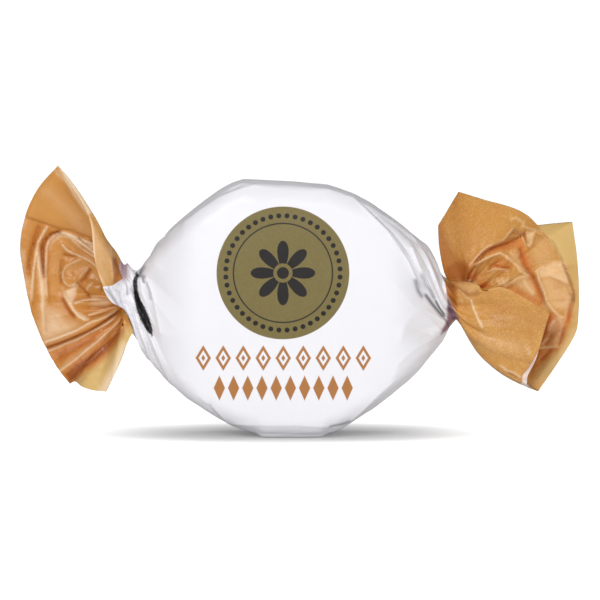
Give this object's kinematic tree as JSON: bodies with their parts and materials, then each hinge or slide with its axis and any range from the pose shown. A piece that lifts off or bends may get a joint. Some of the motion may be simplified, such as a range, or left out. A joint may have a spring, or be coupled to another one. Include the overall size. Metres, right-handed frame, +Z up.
{
  "type": "twist-wrapped polvoron biscuit",
  "caption": "Oval pressed nut biscuit shut in tight white paper that is twisted at each end into a flared, crumpled gold tail.",
  "frame": {"origin": "middle of the small flat spot under the body that the wrapped biscuit rests on", "axes": "+X along the wrapper towards the right tail, +Y from the round face into the depth, +Z up"},
  "size_m": [0.0956, 0.0196, 0.0456],
  "materials": {
    "wrapper_paper": "satin white wrapping paper, printed gold beyond the twists: matt outside and glossy inside the tails"
  },
  "bodies": {
    "root": {"wrapped_polvoron": "wrapper_paper"}
  },
  "joints": []
}
